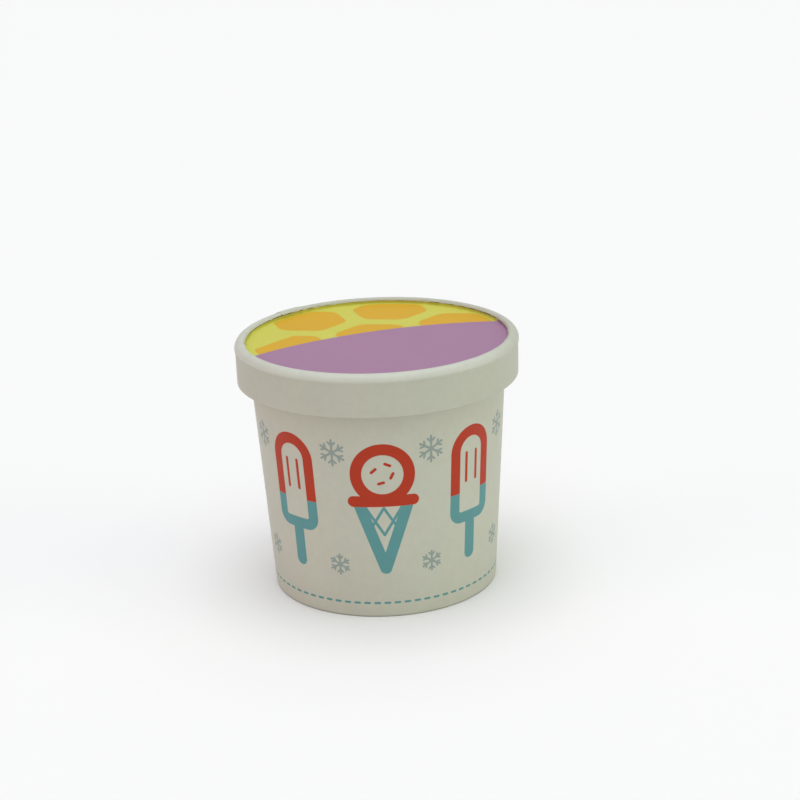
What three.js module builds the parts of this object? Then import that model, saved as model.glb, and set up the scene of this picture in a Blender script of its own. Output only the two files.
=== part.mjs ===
// A small shut paper ice cream tub: a tapered paper cup with a flat paper lid pressed on.
// Millimetres, +Z up. The origin is the middle of the foot, and the printed front faces -Y.
// The tub is shut, so the cup is solid between its base and its lid.

import * as THREE from "three";

// Driving dimensions of the whole tub
const lidRadius = 36; // outside of the lid's skirt at its shoulder
const totalHeight = 65.4;
const lidHeight = 10.6; // from the skirt's lower edge to the top of the rolled rim
const footRadius = 28.8; // outside of the cup at the table
const wallRadiusAtHem = 32.3; // outside of the cup just under the lid
const paper = 0.5; // one ply of coated board
const clearance = 0.1; // between neighbouring pieces

// The lid's rolled rim and its sunk disc
const rollHalfWidth = 1.5;
const rollShoulder = 2.1; // how far below its top the roll turns into the skirt
const rollSquareness = 2.2; // 2 would make the roll's section an ellipse, and more flattens its top
const discDepth = 1.5; // from the top of the roll down to the printed face
const hemTaper = 0.25; // the skirt is this much narrower at its lower edge
const flangeHeight = 0.45; // the disc's edge turns up inside the roll
const flangeSetback = 0.35; // from the inside of the roll's inner leg to the disc's edge

// The cup's rolled lip, hidden under the lid
const lipRadius = 1.25;
const lipSetback = 0.85; // from the inside of the skirt to the lip
const lipRoot = -150; // where the lip leaves the wall, in degrees anticlockwise from outwards
const lipCrown = 90;

// The foot, where the wall's end is folded up round the turned-down edge of the base
const footThickness = 1.35;
const foldRadius = 0.45; // of both corners that stand on the table
const hemHeight = 4.6; // the folded end reaches up this far
const baseHeight = 5.2; // underside of the base disc above the table
const seatWall = 1; // of the wall outside the base's edge

// The laps where each paper band is glued to itself; angle is where the outer ply's cut edge lies
const wallLap = { angle: 84, width: 7 };
const lidLap = { angle: 138, width: 9 };
const lapStep = 0.35;
const lapRamp = 2.3; // the outer ply climbs over the inner one in this distance

// How finely the round shapes are divided
const segments = 96; // round the tub
const wallSteps = 3; // up the wall
const foldSteps = 3;
const lipSteps = 10;
const rollSteps = { inside: 8, outside: 12 };
const tolerance = 0.01;

const hemZ = totalHeight - lidHeight;
const rollCentre = new THREE.Vector2(lidRadius - rollHalfWidth, totalHeight - rollShoulder);
const discTop = totalHeight - discDepth;
const discUnderside = discTop - paper;
const seatRadius = wallRadius(hemHeight) - seatWall;

function wallRadius(z) {
  return footRadius + ((wallRadiusAtHem - footRadius) * z) / hemZ;
}

function point(radius, z) {
  return new THREE.Vector2(radius, z);
}

// Points on an arc from one angle to another, in degrees anticlockwise from outwards
function arc(centre, halfWidth, halfHeight, from, to, steps, squareness = 2) {
  const reach = (share) => Math.sign(share) * Math.abs(share) ** (2 / squareness);
  return Array.from({ length: steps + 1 }, (_, i) => {
    const angle = THREE.MathUtils.degToRad(from + ((to - from) * i) / steps);
    return point(
      centre.x + halfWidth * reach(Math.cos(angle)),
      centre.y + halfHeight * reach(Math.sin(angle)),
    );
  });
}

function revolve(profile) {
  const lathe = new THREE.LatheGeometry(profile, segments);
  // three.js revolves about Y with the profile's height along Y, and the tub stands along Z
  return lathe.rotateX(Math.PI / 2);
}

// How far the outer ply stands proud at an angle: it climbs over the inner ply, then ends in a cut edge
function lapHeight(lap, angle, radius) {
  const turned = angle - THREE.MathUtils.degToRad(lap.angle) + Math.PI;
  const along = (THREE.MathUtils.euclideanModulo(turned, 2 * Math.PI) - Math.PI) * radius;
  if (along < -lap.width || along > 0) return 0;
  return lapStep * Math.min(1, (along + lap.width) / lapRamp);
}

// Lifts the outside of a band at its lap, where each vertex passes the test
function addLap(geometry, lap, isOutside) {
  const position = geometry.attributes.position;
  const vertex = new THREE.Vector3();
  for (let i = 0; i < position.count; i++) {
    vertex.fromBufferAttribute(position, i);
    const radius = Math.hypot(vertex.x, vertex.y);
    if (!isOutside(radius, vertex.z)) continue;
    const height = lapHeight(lap, Math.atan2(vertex.y, vertex.x), radius);
    const grown = (radius + height) / radius;
    position.setXYZ(i, vertex.x * grown, vertex.y * grown, vertex.z);
  }
  return geometry;
}

// The paper cup: foot with its folded-up hem, tapered wall, rolled lip, solid inside
function cupGeometry() {
  const inside = baseHeight + paper + clearance;
  const foldOuter = point(footRadius - foldRadius, foldRadius);
  const foldInner = point(footRadius - footThickness + foldRadius, foldRadius);
  const wall = Array.from({ length: wallSteps }, (_, i) => {
    const z = (hemZ * (i + 1)) / wallSteps;
    return point(wallRadius(z), z);
  });
  const lipTop = discUnderside - clearance;
  const lip = point(lidRadius - paper - lipSetback - lipRadius, lipTop - lipRadius);
  const profile = [
    point(0, inside),
    point(seatRadius, inside),
    point(seatRadius, hemHeight),
    point(wallRadius(hemHeight) - footThickness, hemHeight),
    ...arc(foldInner, foldRadius, foldRadius, 180, 270, foldSteps),
    ...arc(foldOuter, foldRadius, foldRadius, 270, 360, foldSteps),
    ...wall,
    ...arc(lip, lipRadius, lipRadius, lipRoot, lipCrown, lipSteps),
    point(0, lipTop),
  ];
  const isWall = (radius, z) =>
    z > foldRadius && z < hemZ + tolerance && radius > wallRadius(z) - paper / 2;
  return addLap(revolve(profile), wallLap, isWall);
}

// The base disc, glued inside the foot with its edge turned down
function baseGeometry() {
  const edge = seatRadius - clearance;
  const edgeBottom = hemHeight + clearance;
  const bend = paper / 2; // the corner inside the turned-down edge
  return revolve([
    point(0, baseHeight),
    point(edge - paper - bend, baseHeight),
    point(edge - paper, baseHeight - bend),
    point(edge - paper, edgeBottom),
    point(edge, edgeBottom),
    point(edge, baseHeight + paper),
    point(0, baseHeight + paper),
  ]);
}

// The lid's skirt: a band whose upper edge is rolled over the disc's edge
function skirtGeometry() {
  const legEnd = discTop + clearance;
  // Each face of the roll stops where its inner leg is cut, just above the disc
  const endAngle = (halfHeight) => {
    const share = ((legEnd - rollCentre.y) / halfHeight) ** (rollSquareness / 2);
    return 180 - THREE.MathUtils.radToDeg(Math.asin(share));
  };
  const innerHalfHeight = rollShoulder - paper;
  const inside = arc(
    rollCentre,
    rollHalfWidth - paper,
    innerHalfHeight,
    endAngle(innerHalfHeight),
    0,
    rollSteps.inside,
    rollSquareness,
  );
  const outside = arc(
    rollCentre,
    rollHalfWidth,
    rollShoulder,
    0,
    endAngle(rollShoulder),
    rollSteps.outside,
    rollSquareness,
  );
  const middleZ = (hemZ + rollCentre.y) / 2;
  const profile = [
    ...inside,
    point(lidRadius - paper - hemTaper / 2, middleZ),
    point(lidRadius - paper - hemTaper, hemZ),
    point(lidRadius - hemTaper, hemZ),
    point(lidRadius - hemTaper / 2, middleZ),
    ...outside,
    inside[0],
  ];
  const isOuterFace = (radius, z) =>
    z < rollCentre.y + rollShoulder / 2 && radius > lidRadius - hemTaper - paper / 2;
  return addLap(revolve(profile), lidLap, isOuterFace);
}

// The printed disc, sunk inside the roll, with its edge turned up out of sight
function discGeometry() {
  const flangeInside = rollCentre.x - rollHalfWidth + paper + flangeSetback;
  const flangeOutside = flangeInside + paper;
  const flangeTop = discTop + flangeHeight;
  return revolve([
    point(0, discUnderside),
    point(flangeOutside - paper / 2, discUnderside),
    point(flangeOutside, discUnderside + paper / 2),
    point(flangeOutside, flangeTop),
    point(flangeInside, flangeTop),
    point(flangeInside, discTop),
    point(0, discTop),
  ]);
}

function boardMaterial(colour) {
  return new THREE.MeshStandardMaterial({ color: colour, roughness: 0.6, metalness: 0 });
}

const creamBoard = boardMaterial("#cbcdbf");
const printedBoard = boardMaterial("#a37a9b");

const tub = new THREE.Group();
for (const [name, geometry, material] of [
  ["cup_wall", cupGeometry(), creamBoard],
  ["cup_base", baseGeometry(), creamBoard],
  ["lid_skirt", skirtGeometry(), creamBoard],
  ["lid_disc", discGeometry(), printedBoard],
]) {
  const mesh = new THREE.Mesh(geometry, material);
  mesh.name = name;
  tub.add(mesh);
}

export default tub;
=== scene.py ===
"""A small shut paper ice cream tub: coated cup, pressed-on lid with a rolled rim, printed boards."""

import math

import bpy
from mathutils import Matrix, Vector


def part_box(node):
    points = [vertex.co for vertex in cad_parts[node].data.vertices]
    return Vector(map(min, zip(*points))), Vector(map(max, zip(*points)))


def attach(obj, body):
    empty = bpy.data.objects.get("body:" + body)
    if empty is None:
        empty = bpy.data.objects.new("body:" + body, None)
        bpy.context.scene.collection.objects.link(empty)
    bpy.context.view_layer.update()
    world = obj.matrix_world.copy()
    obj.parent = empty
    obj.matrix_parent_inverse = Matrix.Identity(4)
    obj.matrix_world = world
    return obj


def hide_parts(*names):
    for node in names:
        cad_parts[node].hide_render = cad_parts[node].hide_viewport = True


bl_info = {
    "name": "Paper Ice Cream Tub",
    "version": (1, 0, 0),
    "blender": (4, 5, 0),
    "location": "3D View > Sidebar > Paper Tub",
    "description": "Builds the boards, print and studio of a small paper ice cream tub",
    "category": "Add Mesh",
}

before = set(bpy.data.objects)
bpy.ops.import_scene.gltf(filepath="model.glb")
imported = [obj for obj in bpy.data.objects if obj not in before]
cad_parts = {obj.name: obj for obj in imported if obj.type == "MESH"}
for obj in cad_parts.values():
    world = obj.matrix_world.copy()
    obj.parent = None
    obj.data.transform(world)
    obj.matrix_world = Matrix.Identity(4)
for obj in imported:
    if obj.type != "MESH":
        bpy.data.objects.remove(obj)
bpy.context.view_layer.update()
WALL_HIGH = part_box("cup_wall")[1]
BASE_LOW, BASE_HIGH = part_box("cup_base")
SKIRT_LOW, SKIRT_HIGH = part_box("lid_skirt")
DISC_LOW, DISC_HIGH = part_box("lid_disc")

BODY = "root"
MM = 0.001
SHARP_ANGLE = math.radians(38)
WELD = 0.002 * MM
# Neighbouring points of a section with different weights stand this far apart, so that they don't weld
APART = 0.02 * MM
# Between neighbouring pieces, as in the CAD model
CLEARANCE = 0.1 * MM


def linear(hex_colour):
    """Turns an sRGB hex colour into the linear red, green, blue and alpha that Blender works in."""
    channels = [int(hex_colour[i : i + 2], 16) / 255 for i in (1, 3, 5)]
    return [c / 12.92 if c <= 0.04045 else ((c + 0.055) / 1.055) ** 2.4 for c in channels] + [1.0]


def number(name, description, default, **more):
    return bpy.props.FloatProperty(name=name, description=description, default=default, **more)


def distance(name, description, millimetres):
    return number(name, description, millimetres * MM, subtype="DISTANCE", unit="LENGTH", precision=5)


def angle(name, description, degrees):
    return number(name, description, math.radians(degrees), subtype="ANGLE", unit="ROTATION")


def count(name, description, default, least):
    return bpy.props.IntProperty(name=name, description=description, default=default, min=least)


def glow(name, description, default, **more):
    return bpy.props.FloatVectorProperty(name=name, description=description, default=default, min=0, **more)


def colour(name, description, hex_colour):
    return glow(name, description, linear(hex_colour), size=4, subtype="COLOR", max=1)


class BoardSettings(bpy.types.PropertyGroup):
    """The paper board that every piece is made of, and how it is glued and pressed."""

    paper: distance("Board Thickness", "One ply of coated board", 0.5)
    lap_step: distance("Lap Step", "How far the outer ply stands proud of the inner one", 0.35)
    lap_ramp: distance("Lap Ramp", "Distance in which the outer ply climbs over the inner one", 2.3)
    cut_corner: distance("Cut Corner", "Rounding of a ply's cut edge", 0.05)
    columns: count("Columns", "Divisions round the tub", 480, 96)


class CupSettings(bpy.types.PropertyGroup):
    """Sizes of the paper cup."""

    foot_radius: distance("Foot Radius", "Outside of the cup at the table", 28.8)
    hem_radius: distance("Radius Under Lid", "Outside of the cup just under the lid", 32.3)
    foot_thickness: distance("Foot Thickness", "Wall, base edge and folded hem together", 1.35)
    fold_radius: distance("Fold Radius", "Corners of the foot that stand on the table", 0.45)
    hem_height: distance("Folded Hem", "How far the folded end reaches up inside the foot", 4.6)
    lip_radius: distance("Lip Radius", "The cup's rolled lip, under the lid", 1.25)
    lip_centre: distance("Lip Centre", "Radius of the middle of the rolled lip", 33.4)
    lap_angle: angle("Lap Angle", "Where the outer ply's cut edge lies", 84)
    lap_width: distance("Lap Width", "Width of the glued lap", 7)
    waviness: distance("Waviness", "How far the wall strays from a true cone", 0.14)
    knurl_count: count("Knurls", "Pressed ribs inside the foot", 80, 1)
    knurl_height: distance("Knurl Height", "Depth of the pressed ribs inside the foot", 0.13)


class LidSettings(bpy.types.PropertyGroup):
    """Sizes of the paper lid."""

    roll_outer: distance("Roll Outer Reach", "From the roll's crown out to the skirt", 1.95)
    roll_inner: distance("Roll Inner Reach", "From the roll's crown in to its inner leg", 1.05)
    roll_shoulder: distance("Roll Shoulder", "How far below its top the roll turns into the skirt", 1.95)
    roll_squareness: number("Roll Squareness", "2 makes an ellipse, and more flattens its top", 2.05, min=2)
    leg_depth: distance("Leg Depth", "From the top of the roll down to its cut inner edge", 0.65)
    flange_setback: distance("Flange Setback", "From the roll's inner side out to the disc's edge", 0.5)
    flange_slump: distance("Flange Slump", "How much lower the disc's edge stands at the sides", 0.34)
    flange_bend: distance("Flange Bend", "Radius of the fold where the disc turns up", 0.4)
    crimp_depth: distance("Crimp Depth", "How far the roll's cut edge and the disc's edge pucker", 0.3)
    crimp_drop: distance("Crimp Drop", "How ragged the roll's cut edge hangs", 0.5)
    crimp_length: distance("Crimp Length", "From one pucker to the next", 2.2)
    disc_depth: distance("Disc Depth", "From the top of the roll down to the printed face", 1.5)
    hem_taper: distance("Hem Taper", "The skirt is this much narrower at its lower edge", 0.25)
    crease: distance("Crease", "How far the skirt is drawn in just under the roll", 0.18)
    lap_angle: angle("Lap Angle", "Where the outer ply's cut edge lies", 138)
    lap_width: distance("Lap Width", "Width of the glued lap", 9)
    waviness: distance("Waviness", "How far the skirt strays from a true circle", 0.16)
    disc_sag: distance("Disc Sag", "How far the printed disc strays from flat", 0.14)


class PrintSettings(bpy.types.PropertyGroup):
    """Colours of the boards and inks, and the size of the printed pattern."""

    cup: colour("Cup Board", "Coated cream board of the cup's wall", "#c0c3b5")
    cream: colour("Lid Board", "Coated cream board of the lid's band", "#babdaf")
    # Rim Board is a paler tone painted on the roll as a highlight
    rim: colour("Rim Board", "Board of the roll, which the roller has burnished paler", "#c7cbc0")
    plain: colour("Plain Board", "Unprinted board under the foot", "#c1bead")
    raw: colour("Cut Edge", "Uncoated fibre at the cut edges", "#cbc1a9")
    red: colour("Red Ink", "Upper part of the treats round the wall", "#b0310e")
    teal: colour("Teal Ink", "Lower part of the treats round the wall", "#599497")
    grey_blue: colour("Grey-Blue Ink", "Thin strokes of the snow crystals", "#8e9d98")
    yellow: colour("Yellow Ink", "Ground of the honeycomb", "#ccca4f")
    orange: colour("Orange Ink", "Cells of the honeycomb", "#d6a710")
    mauve: colour("Mauve Ink", "Plain field of the disc", "#a37a9b")
    treats: count("Places", "Places for printed treats round the wall", 8, 4)
    stroke: distance("Stroke", "Width of the bold strokes", 2.9)
    thin_stroke: distance("Thin Stroke", "Width of the thin strokes", 0.62)
    cell_pitch: distance("Cell Pitch", "From one honeycomb cell to the next", 22.6)
    cell_width: distance("Cell Width", "A honeycomb cell from flat to flat", 17.2)
    cell_turn: angle("Cell Turn", "How far the honeycomb is turned on the disc", -11.2)


class StudioSettings(bpy.types.PropertyGroup):
    """The camera, lights and floor."""

    elevation: angle("Elevation", "How far the camera looks down on the lid's centre", 16.3)
    roll: angle("Roll", "How far the tub is turned anticlockwise in the picture", 2.43)
    range: distance("Range", "From the camera to the middle of the lid", 508.9)
    lens: number("Lens", "Focal length in millimetres", 90.45)
    roof: glow("Roof", "Light from the whole roof of the tent", (0.86, 0.88, 0.91))
    skylight: glow("Skylight", "Light from the middle of the roof", (0.87, 0.89, 0.93))
    front_high: glow("Front High", "Light from above the open front", (0.09, 0.15, 0.18))
    front_low: glow("Front Low", "Light from the open front, low down", (0.29, 0.23, 0.14))
    left_high: glow("Left High", "Light from above on the left", (0.13, 0.16, 0.18))
    left_low: glow("Left Low", "Light from the tent's left wall, rosy", (0.60, 0.17, 0.11))
    right_high: glow("Right High", "Light from above on the right", (0.23, 0.22, 0.16))
    right_low: glow("Right Low", "Light from the tent's right wall, a little green", (0.75, 0.72, 0.52))
    rear: glow("Rear", "Light from the tent's back wall", (0.15, 0.14, 0.12))


def add(tree, kind, inputs=(), output=0, **settings):
    """Adds one node with its settings, fills its sockets by order or by name, and returns one output."""
    node = tree.nodes.new(kind)
    for name, value in settings.items():
        setattr(node, name, value)
    for key, value in inputs.items() if isinstance(inputs, dict) else enumerate(inputs):
        if isinstance(value, bpy.types.NodeSocket):
            tree.links.new(value, node.inputs[key])
        elif value is not None:
            node.inputs[key].default_value = value
    return node.outputs[output] if node.outputs else node


def join(kind, inputs, output=0, **settings):
    """Adds a node to the tree that its first linked input is in."""
    values = inputs.values() if isinstance(inputs, dict) else inputs
    tree = next(value.id_data for value in values if isinstance(value, bpy.types.NodeSocket))
    return add(tree, kind, inputs, output, **settings)


def calc(operation, *values):
    return join("ShaderNodeMath", values, operation=operation)


def times(first, second):
    return calc("MULTIPLY", first, second)


def plus(first, second):
    return calc("ADD", first, second)


def minus(first, second):
    return calc("SUBTRACT", first, second)


def vector_calc(operation, *values):
    return join("ShaderNodeVectorMath", values, operation=operation)


def vector_value(operation, *values):
    """A step of vector arithmetic that gives one number."""
    return join("ShaderNodeVectorMath", values, "Value", operation=operation)


def scaled(vector, factor):
    return join("ShaderNodeVectorMath", {0: vector, "Scale": factor}, operation="SCALE")


def combine(x, y, z=None):
    return join("ShaderNodeCombineXYZ", [x, y, z])


def split(vector):
    return tuple(join("ShaderNodeSeparateXYZ", [vector]).node.outputs)


def spread(value, start, end, low=0.0, high=1.0, **settings):
    """From low to high while the value goes from start to end."""
    return join("ShaderNodeMapRange", [value, start, end, low, high], **settings)


def smooth_step(value, start, end, low=0.0, high=1.0):
    return spread(value, start, end, low, high, interpolation_type="SMOOTHSTEP")


def choose(is_second, first, second):
    """The first number where the test is 0, the second where it is 1."""
    return join("ShaderNodeMix", [is_second, None, first, second])


def blend(share, first, second):
    """A colour between two, by the share of the second."""
    return join("ShaderNodeMix", {0: share, 6: first, 7: second}, 2, data_type="RGBA")


def object_place(tree):
    return add(tree, "ShaderNodeTexCoord", output="Object")


def mesh_weight(tree, name):
    return add(tree, "ShaderNodeAttribute", output="Fac", attribute_name=name)


def clamped(share):
    return min(1.0, max(0.0, share))


def arc(centre, half_width, half_height, start, end, steps, squareness=2.0):
    """Points on an arc, as radius and height, with angles in degrees anticlockwise from outwards."""

    def reach(share):
        return math.copysign(abs(share) ** (2 / squareness), share)

    points = []
    for i in range(steps + 1):
        turn = math.radians(start + (end - start) * i / steps)
        across, up = reach(math.cos(turn)), reach(math.sin(turn))
        points.append((centre[0] + half_width * across, centre[1] + half_height * up))
    return points


def line(start, end, steps):
    """Evenly spaced points from one to another, without the first."""
    return [tuple(a + (b - a) * i / steps for a, b in zip(start, end)) for i in range(1, steps + 1)]


def new_object(name, data):
    made = bpy.data.objects.new(name, data)
    bpy.context.scene.collection.objects.link(made)
    return made


class Section:
    """A board's section, from its first point to its last, with a weight for each thing that shapes it."""

    WEIGHTS = ("lift", "rise", "wave", "rib", "crimp", "raw", "sag")

    def __init__(self):
        self.points = []
        self.weights = {name: [] for name in self.WEIGHTS}

    def run(self, points, **weights):
        """Adds points; a weight is a number for all of them or a function of radius and height."""
        for radius, height in points:
            self.points.append((radius, 0.0, height))
            for name in self.WEIGHTS:
                value = weights.get(name, 0.0)
                self.weights[name].append(value(radius, height) if callable(value) else value)

    def build(self, name):
        """The section as a mesh object of points alone, carrying its weights as attributes."""
        mesh = bpy.data.meshes.new(name)
        mesh.from_pydata(self.points, [], [])
        for weight, values in self.weights.items():
            mesh.attributes.new(weight, "FLOAT", "POINT").data.foreach_set("value", values)
        return new_object(name, mesh)


SPIN_INPUTS = {
    "Columns": 480,
    "Lap Angle": 0.0,
    "Lap Width": 7 * MM,
    "Lap Ramp": 2.3 * MM,
    "Lap Step": 0.35 * MM,
    "Cut Corner": 0.05 * MM,
    "Mean Radius": 32 * MM,
    "Waviness": 0.1 * MM,
    "Wave Length": 30 * MM,
    "Seed": 0.0,
    "Sag": 0.0,
    "Rib Count": 80,
    "Rib Height": 0.1 * MM,
    "Crimp Depth": 0.0,
    "Crimp Length": 2.0 * MM,
    "Crimp Drop": 0.0,
    "Crimp Slump": 0.0,
    "Board": None,
}
SOCKET_KINDS = {int: "NodeSocketInt", float: "NodeSocketFloat", type(None): "NodeSocketMaterial"}


def spun_board_tree():
    """Geometry Nodes that spin a section once round, from a ply's cut edge back to it."""
    name = "Spun board"
    if name in bpy.data.node_groups:
        return bpy.data.node_groups[name]
    tree = bpy.data.node_groups.new(name, "GeometryNodeTree")
    tree.interface.new_socket("Geometry", in_out="INPUT", socket_type="NodeSocketGeometry")
    for label, default in SPIN_INPUTS.items():
        kind = SOCKET_KINDS[type(default)]
        socket = tree.interface.new_socket(label, in_out="INPUT", socket_type=kind)
        if default is not None:
            socket.default_value = default
    tree.interface.new_socket("Geometry", in_out="OUTPUT", socket_type="NodeSocketGeometry")
    given = tree.nodes.new("NodeGroupInput").outputs

    # A grid of the section's points by the columns; three extra columns make the cut edge
    rows = join("GeometryNodeAttributeDomainSize", [given["Geometry"]], component="MESH")
    extra = plus(given["Columns"], 3)
    grid = join("GeometryNodeMeshGrid", {"Vertices X": extra, "Vertices Y": rows})
    index = add(tree, "GeometryNodeInputIndex")
    column = calc("FLOOR", calc("DIVIDE", index, rows))
    row = calc("MODULO", index, rows)

    def sampled(value, kind="FLOAT"):
        inputs = {"Geometry": given["Geometry"], "Value": value, "Index": row}
        return join("GeometryNodeSampleIndex", inputs, data_type=kind)

    def weight(label):
        return sampled(add(tree, "GeometryNodeInputNamedAttribute", {"Name": label}, data_type="FLOAT"))

    position = sampled(add(tree, "GeometryNodeInputPosition"), "FLOAT_VECTOR")
    section_radius, _, section_height = split(position)

    # How far round: the last full column stands just before the cut, so that the corner stays crisp
    half_column = 0.5
    share = calc("MINIMUM", calc("DIVIDE", column, given["Columns"]), 1.0)
    round_length = times(given["Mean Radius"], math.tau)
    corner_share = calc("DIVIDE", given["Cut Corner"], round_length)
    at_last = calc("COMPARE", column, given["Columns"], half_column)
    turn = minus(share, times(corner_share, at_last))
    bearing = calc("MULTIPLY_ADD", turn, math.tau, given["Lap Angle"])
    cosine = calc("COSINE", bearing)
    sine = calc("SINE", bearing)

    # The outer ply climbs over the inner one and ends at the cut
    to_cut = times(minus(1.0, turn), round_length)
    ramp_end = minus(given["Lap Width"], given["Lap Ramp"])
    climb = smooth_step(to_cut, given["Lap Width"], ramp_end)
    raised = times(climb, given["Lap Step"])
    past_last = calc("GREATER_THAN", column, plus(given["Columns"], half_column))
    rounded = times(given["Cut Corner"], past_last)
    outer_ply = calc("LESS_THAN", column, plus(given["Columns"], 1 + half_column))
    step = times(minus(raised, rounded), outer_ply)
    lift = times(step, weight("lift"))
    rise = times(step, weight("rise"))

    def swung(radius, height):
        """The place at a radius and height on each column's bearing."""
        x = times(cosine, radius)
        y = times(sine, radius)
        return combine(x, y, height)

    def ripple(place, length, detail, roughness):
        """Noise from about -1 to 1, with features of the given length."""
        inputs = {
            "Vector": place,
            "W": given["Seed"],
            "Scale": calc("DIVIDE", 1.0, length),
            "Detail": detail,
            "Roughness": roughness,
        }
        noise = join("ShaderNodeTexNoise", inputs, noise_dimensions="4D")
        return times(minus(noise, 0.5), 2.0)

    # Slow waves, from a noise read on a ring so that they join up
    ring = swung(section_radius, section_height)
    swing = ripple(ring, given["Wave Length"], 1.0, 0.4)
    wave = times(times(swing, given["Waviness"]), weight("wave"))
    sag = times(times(swing, given["Sag"]), weight("sag"))

    # Pressed ribs stand in from the surface
    phase = times(times(turn, given["Rib Count"]), math.tau)
    crest = calc("MULTIPLY_ADD", calc("COSINE", phase), 0.5, 0.5)
    rib = times(times(crest, given["Rib Height"]), weight("rib"))

    # Puckers where a turned edge has to shorten; they run across the board, so height hardly matters
    pucker_place = vector_calc("MULTIPLY", ring, (1.0, 1.0, 0.3))
    pucker = times(ripple(pucker_place, given["Crimp Length"], 2.0, 0.55), weight("crimp"))
    crimp = times(pucker, given["Crimp Depth"])
    drop = times(pucker, given["Crimp Drop"])
    # A crimped edge can also stand lower at the tub's left and right than at its front and back
    slump = times(times(calc("POWER", cosine, 2.0), weight("crimp")), given["Crimp Slump"])

    radius, height = section_radius, section_height
    for operation, amount in (("ADD", lift), ("ADD", wave), ("SUBTRACT", rib), ("ADD", crimp)):
        radius = calc(operation, radius, amount)
    for operation, amount in (("ADD", sag), ("ADD", rise), ("SUBTRACT", drop), ("SUBTRACT", slump)):
        height = calc(operation, height, amount)
    spun = join("GeometryNodeSetPosition", {"Geometry": grid, "Position": swung(radius, height)})
    for label in ("lift", "raw"):
        inputs = {"Geometry": spun, "Name": label, "Value": weight(label)}
        spun = join("GeometryNodeStoreNamedAttribute", inputs, data_type="FLOAT", domain="POINT")
    welded = join("GeometryNodeMergeByDistance", {"Geometry": spun, "Distance": WELD})
    solid = join("GeometryNodeSetMaterial", {"Geometry": welded, "Material": given["Board"]})
    add(tree, "NodeGroupOutput", [solid])
    return tree


def spin(name, section, **values):
    """Spins a section with the Geometry Nodes tree into a plain closed mesh, faces outwards."""
    source = section.build(name + "_section")
    tree = spun_board_tree()
    modifier = source.modifiers.new("Spun board", "NODES")
    modifier.node_group = tree
    sockets = {item.name: item.identifier for item in tree.interface.items_tree if item.in_out == "INPUT"}
    for label, value in values.items():
        modifier[sockets[label.replace("_", " ").title()]] = value
    evaluated = source.evaluated_get(bpy.context.evaluated_depsgraph_get())
    mesh = bpy.data.meshes.new_from_object(evaluated)
    source.modifiers.remove(modifier)
    bpy.data.objects.remove(source)
    mesh.name = name
    piece = new_object(name, mesh)
    face_outwards(mesh)
    mesh.shade_smooth()
    mesh.set_sharp_from_angle(angle=SHARP_ANGLE)
    return piece


def face_outwards(mesh):
    """Flips every face if the closed mesh encloses a negative volume."""
    mesh.calc_loop_triangles()
    points = [v.co for v in mesh.vertices]
    volume = sum(
        points[a].dot(points[b].cross(points[c])) for a, b, c in (t.vertices for t in mesh.loop_triangles)
    )
    if volume < 0:
        mesh.flip_normals()


def wall_radius(cup, height):
    return cup.foot_radius + (cup.hem_radius - cup.foot_radius) * height / SKIRT_LOW.z


def side_wall_section(cup):
    """Up inside the foot, round its folded hem, up the wall to the rolled lip and across the solid top."""
    hem_radius = wall_radius(cup, cup.hem_height) - cup.foot_thickness
    fold = cup.fold_radius
    inner_fold = (cup.foot_radius - cup.foot_thickness + fold, fold)
    outer_fold = (cup.foot_radius - fold, fold)
    seat = BASE_HIGH.x + CLEARANCE
    inside = BASE_HIGH.z + CLEARANCE
    bevel = 0.08 * MM
    lip = (cup.lip_centre, WALL_HIGH.z - cup.lip_radius)
    wave_top = SKIRT_LOW.z
    rib_start, rib_margin = 0.9 * MM, 1.5 * MM

    def wave(radius, height):
        return math.sin(math.pi * clamped(height / wave_top)) ** 0.5

    def rib(radius, height):
        reach = (height - rib_start) / (cup.hem_height - rib_margin)
        return max(0.0, math.sin(math.pi * clamped(reach))) ** 0.4

    section = Section()
    section.run([(0.0, inside)] + line((0.0, inside), (seat, inside), 6))
    section.run(line((seat, inside), (seat, cup.hem_height + bevel), 2))
    # The hem's cut edge points up, just under the base
    hem = cup.hem_height
    cut = [(seat, hem), (hem_radius + bevel, hem), (hem_radius, hem - bevel)]
    section.run(cut, raw=1.0)
    section.run(line(cut[-1], (inner_fold[0] - fold, inner_fold[1]), 12), rib=rib)
    section.run(arc(inner_fold, fold, fold, 180, 270, 6)[1:])
    section.run(arc(outer_fold, fold, fold, 270, 360, 8), lift=lambda r, z: min(1.0, z / fold))
    wall_start = (cup.foot_radius, fold)
    wall_end = (wall_radius(cup, wave_top), wave_top)
    section.run(line(wall_start, wall_end, 40), lift=1.0, wave=wave)
    neck = (wall_end[0] + APART, lip[1] - 0.5 * cup.lip_radius)
    section.run(line(wall_end, neck, 4)[:-1], lift=lambda r, z: 1 - (z - wave_top) / (neck[1] - wave_top))
    section.run(arc(lip, cup.lip_radius, cup.lip_radius, -150, 90, 16))
    section.run(line((lip[0], WALL_HIGH.z), (0.0, WALL_HIGH.z), 6))
    return section


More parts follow.
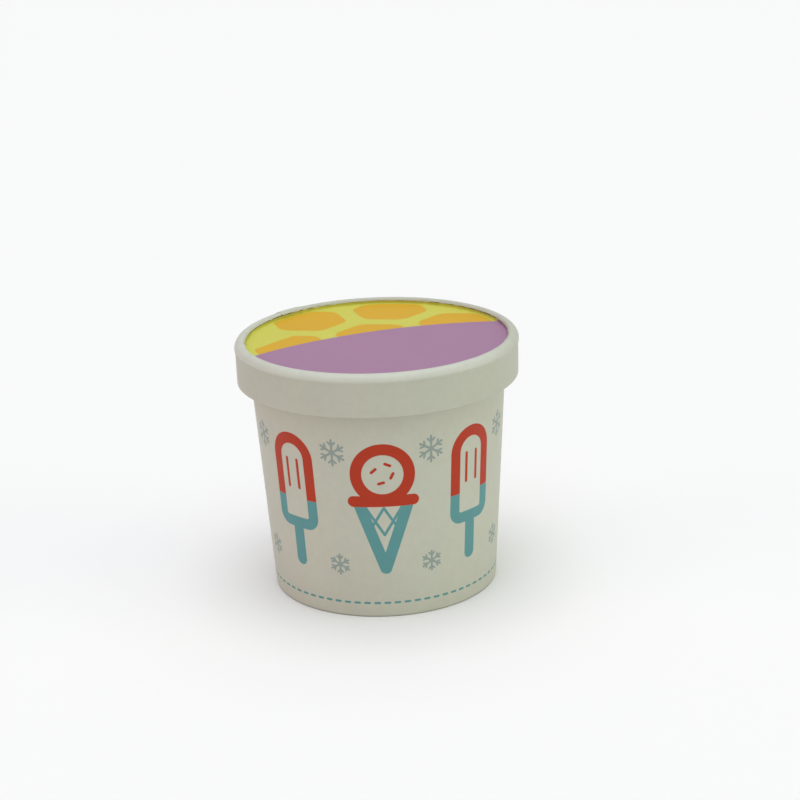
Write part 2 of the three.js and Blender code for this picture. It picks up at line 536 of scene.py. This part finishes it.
def base_section(board):
    """The base disc with its pressed ring and its edge turned down inside the foot."""
    edge, top, bottom = BASE_HIGH.x, BASE_HIGH.z, BASE_LOW.z
    underside = top - board.paper
    bend = 0.45 * MM
    ring_middle, ring_width, ring_depth = 22.5 * MM, 1.6 * MM, 0.22 * MM

    def pressed_ring_and_roll_highlight(radius):
        away = min(1.0, abs(radius - ring_middle) / ring_width)
        return ring_depth * 0.5 * (1 + math.cos(math.pi * away))

    inner_edge = edge - board.paper
    steps = 48
    last = inner_edge - bend
    face = [(last * i / steps, underside - pressed_ring_and_roll_highlight(last * i / steps)) for i in range(steps + 1)]
    section = Section()
    section.run(face, sag=lambda r, z: 1 - (r / last) ** 2)
    corner = arc((last, underside - bend), bend, bend, 90, 0, 6)[1:]
    section.run(corner, rib=lambda r, z: (r - last) / bend)
    section.run([(inner_edge, bottom + APART)], rib=1.0)
    section.run([(inner_edge, bottom), (edge, bottom)], raw=1.0)
    section.run(line((edge, bottom), (edge, top), 2))
    section.run(line((edge, top), (0.0, top), 6))
    return section


def skirt_section(lid, board):
    """The lid's band: cut leg, inside of the roll, down to the hem, up the outside and over the roll."""
    outside = SKIRT_HIGH.x
    top, hem = SKIRT_HIGH.z, SKIRT_LOW.z
    centre = (outside - lid.roll_outer, top - lid.roll_shoulder)
    leg_end = top - lid.leg_depth
    paper, bevel = board.paper, 0.09 * MM
    hem_outside = outside - lid.hem_taper
    crease_length = 0.9 * MM
    # The puckers reach their full depth this far from the crown to the inner leg
    crimp_run = 0.6 * lid.roll_inner
    # The lap is pressed flatter over the roll than down the side, by this share at the crown
    pressing = 0.55
    squareness = lid.roll_squareness

    def end_angle(half_height):
        return 180 - math.degrees(math.asin(((leg_end - centre[1]) / half_height) ** (squareness / 2)))

    def crimp(radius, height):
        """From nothing at the roll's crown to full at the cut end of its inner leg."""
        return clamped((centre[0] - radius) / crimp_run) * clamped((top - height) / (top - leg_end))

    def roll_normal(radius, height):
        reach = lid.roll_outer if radius > centre[0] else lid.roll_inner
        across = (radius - centre[0]) / reach
        upward = (height - centre[1]) / lid.roll_shoulder
        normal = Vector((
            math.copysign(abs(across) ** (squareness - 1), across) / reach,
            math.copysign(abs(upward) ** (squareness - 1), upward) / lid.roll_shoulder,
        ))
        return normal.normalized()

    def roll_lift(radius, height):
        return 1 - pressing * min(1.0, (height - centre[1]) / lid.roll_shoulder)

    def wave(radius, height):
        return clamped((centre[1] - height) / (centre[1] - hem))

    def creased(height):
        below = min(1.0, (centre[1] - height) / crease_length)
        return lid.crease * 0.5 * (1 - math.cos(math.pi * below))

    def flank(height, depth):
        share = (centre[1] - height) / (centre[1] - hem)
        return outside - depth - creased(height) - (lid.hem_taper - lid.crease) * share

    def roll_face(depth, steps):
        """One face of the roll, from the skirt over the crown and down to the cut end of the inner leg."""
        height = lid.roll_shoulder - depth
        out = arc(centre, lid.roll_outer - depth, height, 0, 90, steps, squareness)
        back = arc(centre, lid.roll_inner - depth, height, 90, end_angle(height), steps, squareness)
        return out + back[1:]

    inner = roll_face(paper, steps=8)[::-1]
    outer = roll_face(0.0, steps=22)
    skirt_steps = 34
    heights = [centre[1] + (hem + bevel - centre[1]) * i / skirt_steps for i in range(1, skirt_steps + 1)]
    section = Section()
    section.run(inner[:1], crimp=crimp, raw=1.0)
    section.run(inner[1:], crimp=crimp)
    section.run([(flank(z, paper), z) for z in heights], wave=wave)
    cut = [(hem_outside - paper + bevel, hem), (hem_outside - bevel, hem), (hem_outside, hem + bevel)]
    section.run(cut[:2], wave=1.0, raw=1.0)
    section.run(cut[2:], wave=1.0, lift=1.0)
    section.run([(flank(z, 0.0), z) for z in reversed(heights[:-1])], wave=wave, lift=1.0)
    section.run(
        outer,
        lift=lambda r, z: roll_lift(r, z) * roll_normal(r, z).x,
        rise=lambda r, z: roll_lift(r, z) * roll_normal(r, z).y,
        crimp=crimp,
    )
    section.run(outer[-1:], crimp=crimp, raw=1.0)
    section.run(inner[:1], crimp=crimp, raw=1.0)
    return section


def disc_section(lid, board):
    """The printed disc; its edge turns up inside the roll, and a little of it shows under the cut leg."""
    top = SKIRT_HIGH.z - lid.disc_depth
    underside, bend = DISC_LOW.z, lid.flange_bend
    flange = SKIRT_HIGH.x - lid.roll_outer - lid.roll_inner + lid.flange_setback
    below_leg = 0.08 * MM
    edge, flange_top = flange + board.paper, SKIRT_HIGH.z - lid.leg_depth - below_leg
    steps = 40
    free = flange - 2.0 * MM
    corner = board.paper / 2

    def sag(radius, height):
        return max(0.0, 1 - (radius / free) ** 4)

    def turned_up(radius, height):
        return (height - top) / (flange_top - top)

    section = Section()
    section.run([(free * i / steps, top) for i in range(steps + 1)], sag=sag, lift=1.0)
    section.run(line((free, top), (flange - bend, top), 3), lift=1.0)
    section.run(arc((flange - bend, top + bend), bend, bend, -90, 0, 6)[1:], lift=1.0, crimp=turned_up)
    section.run([(flange, flange_top - APART)], lift=1.0, crimp=turned_up)
    section.run([(flange, flange_top), (edge, flange_top)], raw=1.0, crimp=1.0)
    section.run([(edge, underside + corner), (edge - corner, underside)])
    section.run([(free * i / steps, underside) for i in reversed(range(steps + 1))], sag=sag)
    return section


def stroke(place, start, end, half_width):
    """Distance outside a round-ended stroke between two points, in millimetres; below zero is ink."""
    run = Vector((end[0] - start[0], end[1] - start[1], 0.0))
    offset = vector_calc("SUBTRACT", place, (*start, 0.0))
    along = vector_value("DOT_PRODUCT", offset, run / run.length_squared)
    held = join("ShaderNodeClamp", [along, 0.0, 1.0])
    nearest = scaled(run, held)
    gap = vector_value("DISTANCE", offset, nearest)
    return minus(gap, half_width)


def dot(place, centre, radius):
    gap = vector_value("DISTANCE", place, (*centre, 0.0))
    return minus(gap, radius)


def outline(shape, half_width):
    """A line of even width along the edge of a shape."""
    edge = calc("ABSOLUTE", shape)
    return minus(edge, half_width)


def together(*shapes):
    """All of several shapes, as the nearest of their distances."""
    joined = shapes[0]
    for shape in shapes[1:]:
        joined = calc("MINIMUM", joined, shape)
    return joined


def cut_at(shape, height, level, keep):
    """The part of a shape above or below a level."""
    order = [level, height] if keep == "above" else [height, level]
    outside = minus(*order)
    return calc("MAXIMUM", shape, outside)


def inked(shape, edge=0.07):
    """Turns a distance into coverage, with the slightly soft edge that ink has on board."""
    return smooth_step(shape, edge, -edge)


def rounded_slab(place, height, half_width, low, high, foot_corner, crown_corner):
    """An upright shape from low to high, with one corner radius at its foot and another at its crown."""
    middle = (low + high) / 2
    is_crown = calc("GREATER_THAN", height, middle)
    corner = choose(is_crown, foot_corner, crown_corner)
    offset = vector_calc("ABSOLUTE", vector_calc("SUBTRACT", place, (0.0, middle, 0.0)))
    inset = combine(corner, corner)
    reach = vector_calc("SUBTRACT", (half_width, high - middle, 0.0), inset)
    beyond = vector_calc("SUBTRACT", offset, reach)
    outside = vector_calc("MAXIMUM", beyond, (0.0, 0.0, 0.0))
    outside = vector_value("LENGTH", outside)
    across, up, _ = split(beyond)
    inside = calc("MINIMUM", calc("MAXIMUM", across, up), 0.0)
    gap = plus(outside, inside)
    return minus(gap, corner)


def cone_treat(place, mirrored, height, half):
    """A scoop with sprinkles on a wafer cone: the red ink of scoop and rim, then the teal of the cone."""
    rim_height, tip_height = 31.6, 13.4
    sprinkle_half, waffle_half = 0.38, 0.36
    scoop = outline(dot(mirrored, (0.0, 38.7), 6.6), half)
    scoop = cut_at(scoop, height, rim_height, "above")
    rim = stroke(mirrored, (0.0, rim_height), (7.4, rim_height), half)
    sprinkles = together(*(
        stroke(place, start, end, sprinkle_half)
        for start, end in (
            ((-2.7, 39.3), (-1.7, 40.2)),
            ((0.7, 41.5), (1.9, 41.0)),
            ((2.0, 37.7), (2.6, 38.9)),
            ((-1.0, 36.3), (0.2, 36.6)),
        )
    ))
    side = stroke(mirrored, (6.3, rim_height), (0.0, tip_height), half)
    waffle = together(
        stroke(mirrored, (0.0, 22.6), (4.6, 30.2), waffle_half),
        stroke(mirrored, (0.0, 29.8), (2.8, 25.2), waffle_half),
    )
    return together(scoop, rim, sprinkles), together(side, waffle)


def ice_pop(mirrored, height, half):
    """A frozen pop on a stick: outlined body with two grooves, red over teal, and a solid stick."""
    low, high, split, half_width = 23.6, 46.2, 30.2, 5.2
    foot_corner, groove_half, stick_end = 2.0, 0.42, 13.6
    body = rounded_slab(mirrored, height, half_width, low, high, foot_corner, half_width)
    edge = outline(body, half)
    groove = stroke(mirrored, (1.7, 33.2), (1.7, 40.6), groove_half)
    stick = stroke(mirrored, (0.0, low), (0.0, stick_end), half * 1.15)
    stick = cut_at(stick, height, low, "below")
    upper = together(cut_at(edge, height, split, "above"), groove)
    lower = together(cut_at(edge, height, split, "below"), stick)
    return upper, lower


def snow_crystal(across, height, centre, arm, half):
    """Six thin arms with a pair of barbs each, folded from one arm by turning every sixth onto it."""
    rise = minus(height, centre)
    reach = vector_value("LENGTH", combine(across, rise))
    bearing = calc("ARCTAN2", across, rise)
    sixth = math.pi / 6
    folded = calc("ABSOLUTE", calc("WRAP", bearing, sixth, -sixth))
    along = times(reach, calc("COSINE", folded))
    aside = times(reach, calc("SINE", folded))
    place = combine(along, aside)
    barb_root, barb_tip, barb_half = (arm * 0.55, 0.0), (arm * 0.82, arm * 0.27), half * 0.85
    return together(
        stroke(place, (0.0, 0.0), (arm, 0.0), half),
        stroke(place, barb_root, barb_tip, barb_half),
    )


def board_surface(tree, paint, roughness, grain=1.0, varnish=0.3):
    """Coated board: a satin face whose fibre shows as faint mottle and a low grain."""
    coordinates = object_place(tree)

    def noise(length, detail, fineness=0.5):
        inputs = {"Vector": coordinates, "Scale": 1 / length, "Detail": detail, "Roughness": fineness}
        return join("ShaderNodeTexNoise", inputs)

    def bump(strength, depth, relief, below=None):
        inputs = {"Strength": strength * grain, "Distance": depth, "Height": relief, "Normal": below}
        return join("ShaderNodeBump", inputs)

    # Fibre flocs are about 2 mm across; single fibres, near 0.03 mm, are drawn at 0.4 mm to show at all
    flocs = noise(2.2 * MM, 3.0)
    fibre = noise(0.42 * MM, 4.0, 0.6)
    blotch = noise(14 * MM, 2.0)
    # Each darkens or pales the board by no more than 2.5 percent
    tone = spread(flocs, 0.3, 0.7, 0.975, 1.02)
    fine_tone = spread(fibre, 0.25, 0.75, 0.985, 1.015)
    slow_tone = spread(blotch, 0.3, 0.7, 0.985, 1.012)
    tone = times(times(tone, fine_tone), slow_tone)
    surface = {
        "Base Color": scaled(paint, tone),
        "Roughness": spread(flocs, 0.3, 0.7, roughness - 0.04, roughness + 0.05),
        "IOR": 1.49,
        "Specular IOR Level": varnish,
        "Normal": bump(0.3, 0.02 * MM, fibre, bump(0.35, 0.05 * MM, flocs)),
    }
    return add(tree, "ShaderNodeBsdfPrincipled", surface)


def cut_edges(tree, coated, raw_colour):
    """Shows raw fibre where a ply was cut: at the weighted hems, and at the end of a lap."""
    sideways = 0.7
    normal = add(tree, "ShaderNodeNewGeometry", output="True Normal")
    x, y, _ = split(object_place(tree))
    round_way = combine(times(y, -1.0), x, 0.0)
    facing = vector_value("DOT_PRODUCT", normal, vector_calc("NORMALIZE", round_way))
    lap_end = calc("GREATER_THAN", calc("ABSOLUTE", facing), sideways)
    bare = calc("MAXIMUM", lap_end, mesh_weight(tree, "raw"))
    return blend(bare, coated, raw_colour)


def new_material(name):
    material = bpy.data.materials.new(name)
    material.use_nodes = True
    material.node_tree.nodes.clear()
    return material, material.node_tree


def finish_material(material, shader):
    add(material.node_tree, "ShaderNodeOutputMaterial", [shader])
    return material


def plain_board_material(inks):
    """Coated cupstock, unprinted: satin polythene over bleached board, warmer and duller than print."""
    material, tree = new_material("coated cupstock, plain")
    paint = cut_edges(tree, inks.plain, inks.raw)
    return finish_material(material, board_surface(tree, paint, 0.56))


def lid_board_material(inks):
    """Coated lid board: cream as the cup, and painted paler on the roll as a highlight, most at the front
    left.
    """
    material, tree = new_material("coated lid board, cream")
    place = object_place(tree)
    height = split(place)[2]
    # Painted highlight: the roll's crown is painted paler than the skirt
    highlight_start, highlight_full = SKIRT_HIGH.z - 2.1 * MM, SKIRT_HIGH.z - 1.3 * MM
    rolled = smooth_step(height, highlight_start, highlight_full)
    # Painted highlight: the roll's paler tone fades towards the right and the back
    forward = vector_value("DOT_PRODUCT", place, (-0.6, -0.8, 0.0))
    least_from, full_from, least = -16 * MM, 10 * MM, 0.2
    pressed_ring_and_roll_highlight = smooth_step(forward, least_from, full_from, low=least)
    face = blend(times(rolled, pressed_ring_and_roll_highlight), inks.cream, inks.rim)
    paint = cut_edges(tree, face, inks.raw)
    return finish_material(material, board_surface(tree, paint, 0.5))


def printed_wall_material(inks):
    """Offset-printed cupstock: flat inks under a satin varnish, laid on the cone as it unrolls."""
    material, tree = new_material("coated cupstock, printed")
    x, y, height = split(scaled(object_place(tree), 1 / MM))
    radius = vector_value("LENGTH", combine(x, y))
    bearing = calc("ARCTAN2", y, x)
    share = math.tau / inks.treats
    front = math.pi / 2

    def cells(offset):
        """Distance across from the nearest motif's middle in millimetres, and which motif it is."""
        turn = calc("MULTIPLY_ADD", bearing, 1 / share, front / share + offset)
        nearest = calc("ROUND", turn)
        local = times(minus(turn, nearest), share)
        return times(local, radius), nearest

    across, number = cells(0.0)
    half, thin = inks.stroke / MM / 2, inks.thin_stroke / MM / 2
    place = combine(across, height)
    mirrored = vector_calc("ABSOLUTE", place)
    scoop, cone = cone_treat(place, mirrored, height, half)
    pop_upper, pop_lower = ice_pop(mirrored, height, half)
    # A cone stands between two pops in front and again behind, and each side has a large crystal instead
    is_pop = calc("PINGPONG", number, 1.0)
    is_side = calc("GREATER_THAN", calc("PINGPONG", number, 2.0), 1.5)
    no_ink = 99.0
    upper = choose(is_side, choose(is_pop, scoop, pop_upper), no_ink)
    lower = choose(is_side, choose(is_pop, cone, pop_lower), no_ink)
    large = snow_crystal(across, height, centre=29.6, arm=5.4, half=thin * 1.3)
    large = choose(is_side, no_ink, large)
    between, _ = cells(0.5)
    crystals = together(
        snow_crystal(between, height, centre=44.2, arm=3.3, half=thin),
        snow_crystal(between, height, centre=14.2, arm=2.6, half=thin * 0.9),
        large,
    )
    # A row of short dashes runs round just above the foot
    dash_share = math.radians(5)
    dash_height, dash_half_length, dash_half_width = 3.9, 0.55, 0.3
    dash_turn = calc("WRAP", bearing, dash_share / 2, -dash_share / 2)
    dash_across = times(calc("ABSOLUTE", dash_turn), radius)
    dash_place = combine(dash_across, height)
    dash_end = (dash_half_length, dash_height)
    dashes = stroke(dash_place, (0.0, dash_height), dash_end, dash_half_width)

    outer_face = mesh_weight(tree, "lift")
    paint = cut_edges(tree, inks.cup, inks.raw)
    lower = together(lower, dashes)
    for shape, ink in ((crystals, inks.grey_blue), (lower, inks.teal), (upper, inks.red)):
        cover = times(inked(shape), outer_face)
        paint = blend(cover, paint, ink)
    # Painted shade: the foot's fold is darkened towards the table, standing in for the shade on its
    # underside
    fold_shade_start, fold_shade_end, fold_shade_tone = 0.1, 0.6, 0.7
    paint = scaled(paint, smooth_step(height, fold_shade_start, fold_shade_end, low=fold_shade_tone))
    return finish_material(material, board_surface(tree, paint, 0.5))


def printed_disc_material(inks):
    """Offset-printed lid board: orange honeycomb on yellow, and a mauve field whose edge is a wide arc."""
    material, tree = new_material("coated lid board, printed")
    flat = vector_calc("MULTIPLY", scaled(object_place(tree), 1 / MM), (1.0, 1.0, 0.0))
    pitch, half_cell = inks.cell_pitch / MM, inks.cell_width / MM / 2
    lattice_origin = (-17.6, 19.0, 0.0)
    corner_rounding, corner_growth = 3.2, 0.45
    left_margin, narrow_flank, narrow_rounding = -9.9, 5.9, 1.6
    print_radius, print_rounding = 32.6, 1.2
    field_centre, field_radius = (27.4, -75.5), 87.0
    turning = {"Vector": flat, "Center": lattice_origin, "Angle": -inks.cell_turn}
    turned = join("ShaderNodeVectorRotate", turning, rotation_type="Z_AXIS")
    centred = vector_calc("SUBTRACT", turned, lattice_origin)
    # Cells lie on two rectangular grids, each half a step from the other
    half_step = Vector((pitch * math.sqrt(3) / 2, pitch / 2, 1.0))

    def cell(offset):
        moved = vector_calc("ADD", centred, offset)
        local = vector_calc("WRAP", moved, half_step, -half_step)
        reach = None
        for facing in ((0.0, 1.0, 0.0), (math.sqrt(3) / 2, 0.5, 0.0), (math.sqrt(3) / 2, -0.5, 0.0)):
            flank = calc("ABSOLUTE", vector_value("DOT_PRODUCT", local, facing))
            reach = flank if reach is None else calc("SMOOTH_MAX", reach, flank, corner_rounding)
        return minus(reach, half_cell + corner_growth)

    cells = together(cell((0.0, 0.0, 0.0)), cell(half_step))
    along, aside, _ = split(centred)
    cells = calc("MAXIMUM", cells, minus(left_margin, along))
    # The nearest cell on the left is narrower than the others
    flank = vector_value("DOT_PRODUCT", centred, (-math.sqrt(3) / 2, 0.5, 0.0))
    beyond_flank = plus(flank, narrow_flank)
    nearer = minus(-pitch / 2, aside)
    trimmed = calc("MINIMUM", beyond_flank, nearer)
    cells = calc("SMOOTH_MAX", cells, trimmed, narrow_rounding)
    # The cells stop short of the fold, so the turned-up edge is plain yellow
    from_fold = minus(vector_value("LENGTH", flat), print_radius)
    cells = calc("SMOOTH_MAX", cells, from_fold, print_rounding)
    field = dot(flat, field_centre, field_radius)
    printed = mesh_weight(tree, "lift")
    paint = blend(inked(cells), inks.yellow, inks.orange)
    paint = blend(inked(field), paint, inks.mauve)
    paint = blend(printed, inks.plain, paint)
    return finish_material(material, board_surface(tree, paint, 0.48, 0.8, varnish=0.5))


def build_piece(scene, name, node, slot, section, material, **values):
    """Spins one piece of board and puts it on the frame."""
    keys = ("columns", "lap_step", "lap_ramp", "cut_corner")
    shared = {key: getattr(scene.tub_board, key) for key in keys}
    piece = spin(name, section, board=material, **{**shared, **values})
    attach(piece, BODY)
    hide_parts(node)
    return {"FINISHED"}


class TUB_OT_side_wall(bpy.types.Operator):
    """Builds the printed paper wall with its folded foot, glued lap and rolled lip"""

    bl_idname = "tub.side_wall"
    bl_label = "Build Side Wall"

    def execute(self, context):
        scene = context.scene
        cup = scene.tub_cup
        return build_piece(
            scene,
            "printed_side_wall",
            "cup_wall",
            "printed_wall_board",
            side_wall_section(cup),
            printed_wall_material(scene.tub_print),
            lap_angle=cup.lap_angle,
            lap_width=cup.lap_width,
            mean_radius=(cup.foot_radius + cup.hem_radius) / 2,
            waviness=cup.waviness,
            wave_length=34 * MM,
            seed=3.0,
            rib_count=cup.knurl_count,
            rib_height=cup.knurl_height,
        )


class TUB_OT_base_disc(bpy.types.Operator):
    """Builds the recessed base disc with its pressed ring"""

    bl_idname = "tub.base_disc"
    bl_label = "Build Base Disc"

    def execute(self, context):
        scene = context.scene
        return build_piece(
            scene,
            "recessed_base_disc",
            "cup_base",
            "plain_board",
            base_section(scene.tub_board),
            plain_board_material(scene.tub_print),
            lap_step=0.0,
            mean_radius=BASE_HIGH.x,
            wave_length=22 * MM,
            seed=11.0,
            sag=0.12 * MM,
            rib_count=96,
            rib_height=0.09 * MM,
        )


class TUB_OT_lid_skirt(bpy.types.Operator):
    """Builds the lid's band with its rolled rim, fold line and glued lap"""

    bl_idname = "tub.lid_skirt"
    bl_label = "Build Lid Skirt"

    def execute(self, context):
        scene = context.scene
        lid = scene.tub_lid
        return build_piece(
            scene,
            "rolled_lid_skirt",
            "lid_skirt",
            "lid_board",
            skirt_section(lid, scene.tub_board),
            lid_board_material(scene.tub_print),
            lap_angle=lid.lap_angle,
            lap_width=lid.lap_width,
            mean_radius=SKIRT_HIGH.x,
            waviness=lid.waviness,
            wave_length=26 * MM,
            crimp_depth=lid.crimp_depth,
            crimp_drop=lid.crimp_drop,
            crimp_length=lid.crimp_length,
            seed=7.0,
        )


class TUB_OT_lid_disc(bpy.types.Operator):
    """Builds the sunk printed disc of the lid"""

    bl_idname = "tub.lid_disc"
    bl_label = "Build Lid Disc"

    def execute(self, context):
        scene = context.scene
        lid = scene.tub_lid
        return build_piece(
            scene,
            "printed_lid_disc",
            "lid_disc",
            "printed_disc_board",
            disc_section(lid, scene.tub_board),
            printed_disc_material(scene.tub_print),
            lap_step=0.0,
            mean_radius=DISC_HIGH.x,
            wave_length=30 * MM,
            seed=5.0,
            sag=lid.disc_sag,
            crimp_depth=lid.crimp_depth,
            crimp_length=lid.crimp_length,
            crimp_slump=lid.flange_slump,
        )


def tent_side(name, strength, direction, spread_angle):
    """Wide soft light from one side of the tent, the same all over the floor."""
    light = bpy.data.lights.new(name, "SUN")
    light.energy = max(strength)
    light.color = [channel / light.energy for channel in strength]
    light.angle = math.radians(spread_angle)
    lamp = new_object(name, light)
    lamp.rotation_mode = "QUATERNION"
    lamp.rotation_quaternion = Vector(direction).to_track_quat("Z", "Y")


def photo_camera(studio):
    """The camera at the photograph's angle."""
    # Where the middle of the lid falls in the square picture, in pixels
    image_side, lid_pixel_x, lid_pixel_y = 800, 376.29, 333.04
    sensor_width = 36.0
    focal_pixels = studio.lens / sensor_width * image_side
    tilt, roll = studio.elevation, studio.roll
    back = Vector((0.0, -math.cos(tilt), math.sin(tilt)))
    level_right = Vector((1.0, 0.0, 0.0))
    level_up = back.cross(level_right)
    right = level_right * math.cos(roll) - level_up * math.sin(roll)
    up = level_right * math.sin(roll) + level_up * math.cos(roll)
    middle = image_side / 2
    forward = -back * focal_pixels + right * (middle - lid_pixel_x) - up * (middle - lid_pixel_y)
    depth = -forward.normalized()
    across = up.cross(depth).normalized()
    data = bpy.data.cameras.new("photo camera")
    data.sensor_width = sensor_width
    data.lens = studio.lens
    data.clip_start = 0.01
    data.clip_end = 20.0
    camera = new_object("photo camera", data)
    turn = Matrix((across, depth.cross(across), depth)).transposed()
    lid_middle = Vector((0.0, 0.0, SKIRT_HIGH.z))
    camera.matrix_world = Matrix.Translation(lid_middle + back * studio.range) @ turn.to_4x4()
    bpy.context.scene.camera = camera


def pale_floor():
    """A wide sheet of matt white card."""
    reach = 4.0
    mesh = bpy.data.meshes.new("studio_floor")
    corners = [(-reach, -reach, 0), (reach, -reach, 0), (reach, reach, 0), (-reach, reach, 0)]
    mesh.from_pydata(corners, [], [(0, 1, 2, 3)])
    floor = new_object("studio_floor", mesh)
    material, tree = new_material("matt white card")
    card = add(
        tree,
        "ShaderNodeBsdfPrincipled",
        {"Base Color": linear("#f6f6f6"), "Roughness": 0.9, "Specular IOR Level": 0.1},
    )
    mesh.materials.append(finish_material(material, card))


def light_tent():
    """A faint even glow from all round, which the camera sees as plain pale white."""
    world = bpy.data.worlds.new("light tent")
    world.use_nodes = True
    tree = world.node_tree
    tree.nodes.clear()
    light = add(tree, "ShaderNodeBackground", [linear("#fffdfb"), 0.3])
    seen = add(tree, "ShaderNodeBackground", [linear("#f8f8f8"), 1.0])
    by_camera = add(tree, "ShaderNodeLightPath", output="Is Camera Ray")
    add(tree, "ShaderNodeOutputWorld", [add(tree, "ShaderNodeMixShader", [by_camera, light, seen])])
    bpy.context.scene.world = world


class TUB_OT_studio(bpy.types.Operator):
    """Makes the camera, the pale floor and the soft studio light"""

    bl_idname = "tub.studio"
    bl_label = "Build Studio"

    def execute(self, context):
        studio = context.scene.tub_studio
        context.scene.view_settings.view_transform = "Standard"
        photo_camera(studio)
        pale_floor()
        light_tent()
        for name, direction, spread_angle in (
            ("roof", (0.0, 0.0, 1.0), 85),
            ("skylight", (0.0, 0.0, 1.0), 40),
            ("front_high", (0.0, -0.5, 0.87), 40),
            ("front_low", (0.0, -1.0, 0.08), 50),
            ("left_high", (-0.55, -0.35, 0.76), 50),
            ("left_low", (-0.95, -0.25, 0.1), 50),
            ("right_high", (0.8, -0.45, 0.35), 70),
            ("right_low", (0.95, -0.25, 0.1), 50),
            ("rear", (0.0, 0.8, 0.6), 70),
        ):
            tent_side("tent " + name.replace("_", " "), getattr(studio, name), direction, spread_angle)
        return {"FINISHED"}


class TUB_PT_panel(bpy.types.Panel):
    """Lists the tub's settings and the steps that build it"""

    bl_label = "Paper Tub"
    bl_idname = "TUB_PT_panel"
    bl_space_type = "VIEW_3D"
    bl_region_type = "UI"
    bl_category = "Paper Tub"

    def draw(self, context):
        for group in (getattr(context.scene, name) for name in SETTINGS):
            box = self.layout.box()
            for name in group.__annotations__:
                box.prop(group, name)
        for operator in OPERATORS:
            self.layout.operator(operator.bl_idname)


SETTINGS = {
    "tub_board": BoardSettings,
    "tub_cup": CupSettings,
    "tub_lid": LidSettings,
    "tub_print": PrintSettings,
    "tub_studio": StudioSettings,
}
OPERATORS = (TUB_OT_studio, TUB_OT_side_wall, TUB_OT_base_disc, TUB_OT_lid_skirt, TUB_OT_lid_disc)


def register():
    for kind in (*SETTINGS.values(), *OPERATORS, TUB_PT_panel):
        bpy.utils.register_class(kind)
    for name, kind in SETTINGS.items():
        setattr(bpy.types.Scene, name, bpy.props.PointerProperty(type=kind))


def unregister():
    for name in SETTINGS:
        delattr(bpy.types.Scene, name)
    for kind in reversed((*SETTINGS.values(), *OPERATORS, TUB_PT_panel)):
        bpy.utils.unregister_class(kind)


def main():
    register()
    bpy.ops.tub.studio()
    bpy.ops.tub.side_wall()
    bpy.ops.tub.base_disc()
    bpy.ops.tub.lid_skirt()
    bpy.ops.tub.lid_disc()


if __name__ == "__main__":
    main()
